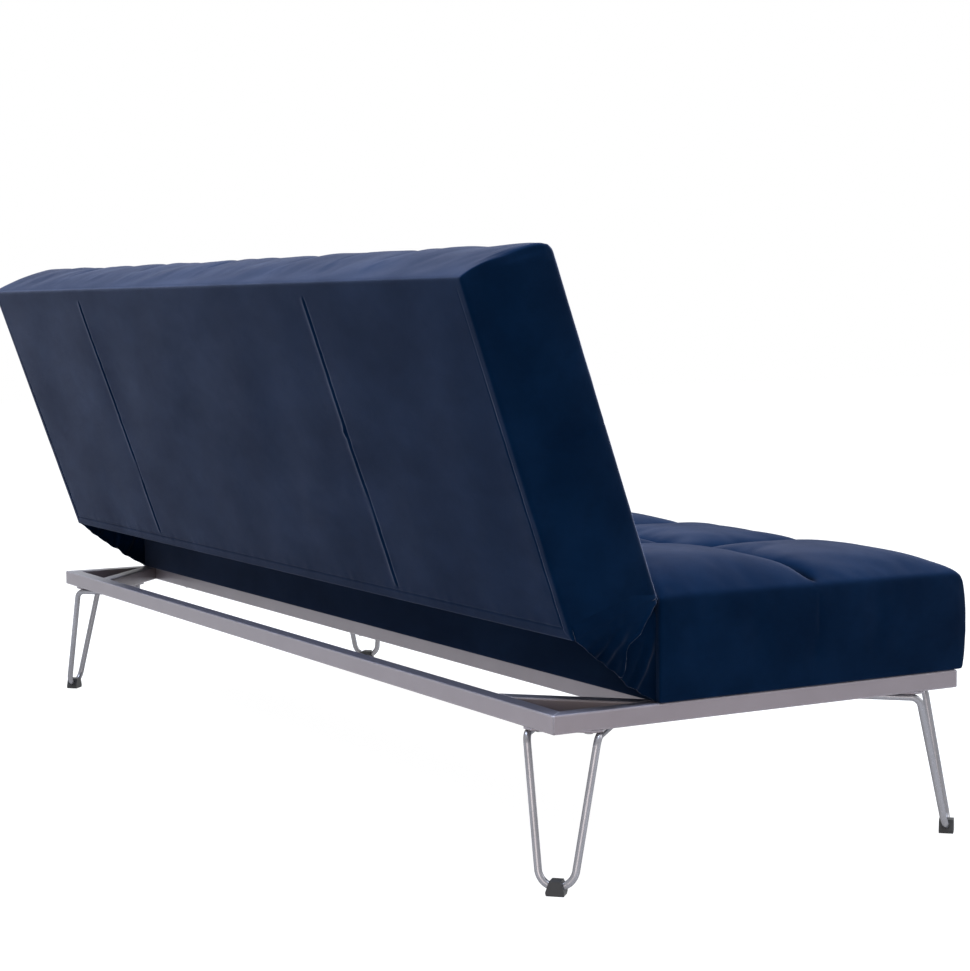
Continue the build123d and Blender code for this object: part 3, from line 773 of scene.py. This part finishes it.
def gusset_reach(angle):
    """Distance from the hinge line to the gusset's hem, a little outside the straight chord."""
    inside = np.clip(angle, 0, TRAVEL_DEG)
    chord = GUSSET_R * math.cos(TRAVEL / 2) / np.cos(np.radians(inside - TRAVEL_DEG / 2))
    middle = smooth(2, 14, inside) * smooth(2, 14, TRAVEL_DEG - inside)
    return chord + middle * (0.0035 + 0.0020 * waves(inside * 0.01, inside * 0, seed=73, size=0.13))


def gusset_bulge(angle, dist):
    """Outward place of the gusset from the plane of the cushions' ends."""
    # out of the recess over the lip, which is slightly rolled
    lip = np.interp(dist, *zip(*LIP))
    past = np.radians(angle - lip) * np.maximum(dist, 0.012)
    out = -RECESS + (RECESS - 0.0002) * smooth(-0.0010, 0.0024, past)
    out += 0.0018 * hump(past - 0.0030, 0.0026) * smooth(0.010, 0.030, dist)
    # folds that grow towards the hem, each a ridge beside a dip
    for start, inner, outer, rise in FOLDS:
        share = np.clip((dist - start) / (0.125 - start), 0, 1)
        off = np.radians(angle - inner - (outer - inner) * share) * dist
        grown = smooth(start - 0.008, start + 0.030, dist)
        out += rise * grown * (1.1 * hump(off, 0.0060) - 0.4 * hump(off - 0.0080, 0.0050))
    # the tip is tucked in between the cushions
    out -= 0.009 * (1 - smooth(0.004, 0.024, dist)) * (1 - smooth(30, 50, angle))
    out -= 0.006 * (1 - smooth(0.003, 0.009, dist))
    ripple = waves(np.radians(angle) * 0.1, dist, seed=71, size=0.03)
    return out + 0.0005 * ripple * smooth(0.03, 0.08, dist)


def end_surface(cushion, side, y, z):
    """Outward place of a cushion's end face at each point, or far inside where it is missed."""
    tree = BVHTree.FromPolygons([v.co for v in cushion.data.vertices],
                                [f.vertices for f in cushion.data.polygons])
    found = np.full(y.shape, -1.0)
    for i in np.ndindex(y.shape):
        hit = tree.ray_cast(Vector((side * 1.5, y[i], z[i])), Vector((-side, 0, 0)), 0.7)[0]
        if hit is not None:
            found[i] = side * hit.x - HALF
    return found


def fan():
    """The gusset between seat and back: its grid's distances, places and outward places."""
    angles, shares = np.linspace(START_ANGLE, TRAVEL_DEG, 157), np.linspace(0, 1, 57)
    angle, share = np.meshgrid(angles, shares, indexing="ij")
    dist = GUSSET_INNER_R + (gusset_reach(angle) - GUSSET_INNER_R) * share
    a = np.radians(angle)
    y = PIVOT.y - GUSSET_FORWARD + dist * np.sin(a)
    z = PIVOT.z - dist * np.cos(a)
    return dist, y, z, gusset_bulge(angle, dist)


def strip_on_back(back, side, dist, y, z, out):
    """The rows that run on from the fan's last one and lie on the back's end face."""
    share, dist = np.meshgrid(np.linspace(0, 1, 19)[1:], dist[-1], indexing="ij")
    reach = share * (ONTO_BACK_LEAST + (ONTO_BACK - ONTO_BACK_LEAST) * smooth(0.004, 0.042, dist))
    y2 = y[-1] + reach * math.cos(TRAVEL)
    z2 = z[-1] + reach * math.sin(TRAVEL)
    lift = 0.0005 - 0.0016 * smooth(0.2, 1.0, share)
    bridge = out[-1] - 0.0004 * share - 0.010 * smooth(0.35, 0.9, share)
    bridge -= 0.012 * share * (1 - smooth(0.004, 0.020, dist))
    return y2, z2, np.maximum(end_surface(back, side, y2, z2) + lift, bridge)


def make_gusset(name, side, back):
    """Cloth between the seat's rear end and the back's lower end, polar round the end of the hinge line.

    The back's end cloth runs on as a flap with folds, and turns in to a recess beside the seat.
    """
    dist, *places = fan()
    y, z, out = (np.vstack(rows) for rows in zip(places, strip_on_back(back, side, dist, *places)))
    points = np.stack([side * (HALF + out), y, z], -1).reshape(-1, 3)
    obj = mesh_object(name, points, grid_faces(np.arange(y.size).reshape(y.shape), flip=side < 0))
    thicken(obj, GUSSET_THICK)
    dy, dz = (get_points(obj.data)[:, 1:] - (PIVOT.y, PIVOT.z)).T
    angle = np.degrees(np.arctan2(dy, -dz))
    beside_back = smooth(TRAVEL_DEG - 16, TRAVEL_DEG - 1, angle)
    # painted shade on the gusset: darker towards the hem, fading out beside the back
    keep_painted_shade(obj, 0.5 * smooth(0.04, 0.12, np.hypot(dy, dz)) * (1 - beside_back))
    finish_piece(obj, "velvet")
    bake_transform(obj)
    return obj


def make_gussets(back):
    for name, side in (("left", 1), ("right", -1)):
        obj = make_gusset(f"gusset_{name}", side, back)
        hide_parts(f"end_gusset_{name}")


# ---------------------------------------------------------------- dust cover
def make_dust_cover():
    """Thin cloth stapled under the seat, a little slack between the rails."""
    lo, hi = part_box("seat_dust_cover")
    x, y = np.meshgrid(np.linspace(lo.x, hi.x, 121), np.linspace(lo.y, hi.y, 41), indexing="ij")
    u, v = (x - lo.x) / (hi.x - lo.x), (y - lo.y) / (hi.y - lo.y)
    room = np.clip(16 * u * (1 - u) * v * (1 - v), 0, 1)
    z = lo.z + 0.0002 + room * (0.0008 + 0.0012 * waves(x, y, seed=81, size=0.16, squeeze=2.0))
    points = np.stack([x, y, z], -1).reshape(-1, 3)
    obj = mesh_object("dust_cover", points, grid_faces(np.arange(x.size).reshape(x.shape), flip=True))
    thicken(obj, 0.0006)
    finish_piece(obj, "dust_cloth", "base")
    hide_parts("seat_dust_cover")


make_seat()
make_gussets(make_back())
make_dust_cover()


# ---------------------------------------------------------------- stage and world
FLOOR_HALF = 14.0
FLOOR_BOUNCE = 0.60           # floor's greyness for the light that it throws back on the object
FLOOR_SEEN = 0.22             # and where the camera sees it, which keeps a faint shadow
FLOOR_GLOW = 0.97
WORLD_LIGHT = 0.28


def white_for_camera(tree):
    """1 on camera, glossy and transmission rays, 0 on the rays that light the object."""
    path = node(tree, "ShaderNodeLightPath").outputs
    seen = maths(tree, "MAXIMUM", path["Is Camera Ray"], path["Is Glossy Ray"])
    return maths(tree, "MAXIMUM", seen, path["Is Transmission Ray"])


def grey(tree, kind, level, **values):
    """Output of a diffuse or emission node of a neutral colour."""
    return node(tree, kind, Color=(level, level, level, 1), **values).outputs[0]


def make_stage():
    corners = [(-FLOOR_HALF, -FLOOR_HALF, 0), (FLOOR_HALF, -FLOOR_HALF, 0),
               (FLOOR_HALF, FLOOR_HALF, 0), (-FLOOR_HALF, FLOOR_HALF, 0)]
    floor = mesh_object("floor", corners, [(0, 1, 2, 3)], smooth_shade=False)
    mat = bpy.data.materials.new("floor")
    mat.use_nodes = True
    tree = mat.node_tree
    tree.nodes.clear()
    shown = node(tree, "ShaderNodeAddShader")
    put(tree, shown.inputs[0], grey(tree, "ShaderNodeBsdfDiffuse", FLOOR_SEEN))
    put(tree, shown.inputs[1], grey(tree, "ShaderNodeEmission", 1.0, Strength=FLOOR_GLOW))
    mix = node(tree, "ShaderNodeMixShader", Fac=white_for_camera(tree))
    put(tree, mix.inputs[1], grey(tree, "ShaderNodeBsdfDiffuse", FLOOR_BOUNCE))
    put(tree, mix.inputs[2], shown.outputs[0])
    node(tree, "ShaderNodeOutputMaterial", Surface=mix.outputs[0])
    floor.data.materials.append(mat)


def make_world():
    world = bpy.data.worlds.new("studio")
    bpy.context.scene.world = world
    world.use_nodes = True
    tree = world.node_tree
    sky = tree.nodes["Background"].inputs
    sky["Color"].default_value = (1, 1, 1, 1)
    put(tree, sky["Strength"], ranged(tree, white_for_camera(tree), 0.0, 1.0, WORLD_LIGHT, 1.0))


# ---------------------------------------------------------------- lights and camera
# each light: place, the point it faces, width and height, power, colour
LIGHTS = {
    "key": ((-1.95, 1.2, 0.35), (-0.85, 0.2, 0.22), (1.0, 0.5), 4.8, (1.0, 0.88, 0.82)),
    "rear": ((-0.9, 1.5, 2.6), (-0.7, 0.4, 0.3), (1.6, 0.8), 4, (0.68, 0.77, 1.0)),
    "top": ((-0.2, 0.35, 3.6), (0, 0.1, 0.4), (3.5, 2.0), 348, (0.72, 0.82, 1.0)),
    "front": ((-1.0, -3.5, 2.4), (0, 0, 0.4), (3.0, 2.0), 70, (1, 1, 1)),
}
CAMERA_PLACE = (-3.2320, 1.69906, 0.7384)
CAMERA_YAW, CAMERA_PITCH, CAMERA_ROLL = -29.789, -4.610, -0.4346
CAMERA_LENS = 81.99547        # mm, on a sensor 36 mm wide


def area_light(name, place, target, size, power, colour):
    data = bpy.data.lights.new(name, "AREA")
    data.color = colour
    data.shape = "RECTANGLE"
    data.size, data.size_y = size
    data.energy = power
    obj = bpy.data.objects.new(name, data)
    bpy.context.scene.collection.objects.link(obj)
    obj.location = place
    obj.rotation_mode = "QUATERNION"
    obj.rotation_quaternion = (Vector(target) - Vector(place)).to_track_quat("-Z", "Y")
    obj.visible_camera = False


def make_camera():
    """The photograph's camera: behind the sofa, past its right end."""
    yaw, pitch, roll = (math.radians(angle) for angle in (CAMERA_YAW, CAMERA_PITCH, CAMERA_ROLL))
    forward = Vector((math.cos(yaw) * math.cos(pitch), math.sin(yaw) * math.cos(pitch), math.sin(pitch)))
    level = Vector((math.sin(yaw), -math.cos(yaw), 0))
    upright = level.cross(forward)
    right = level * math.cos(roll) + upright * math.sin(roll)
    up = upright * math.cos(roll) - level * math.sin(roll)
    data = bpy.data.cameras.new("camera")
    data.sensor_width = 36.0
    data.lens = CAMERA_LENS
    data.clip_end = 100.0
    cam = bpy.data.objects.new("camera", data)
    bpy.context.scene.collection.objects.link(cam)
    turn = Matrix((right, up, -forward)).transposed().to_4x4()
    cam.matrix_world = Matrix.Translation(CAMERA_PLACE) @ turn
    bpy.context.scene.camera = cam


make_stage()
make_world()
for name, light in LIGHTS.items():
    area_light(name, *light)
make_camera()
bpy.context.scene.view_settings.view_transform = "Standard"
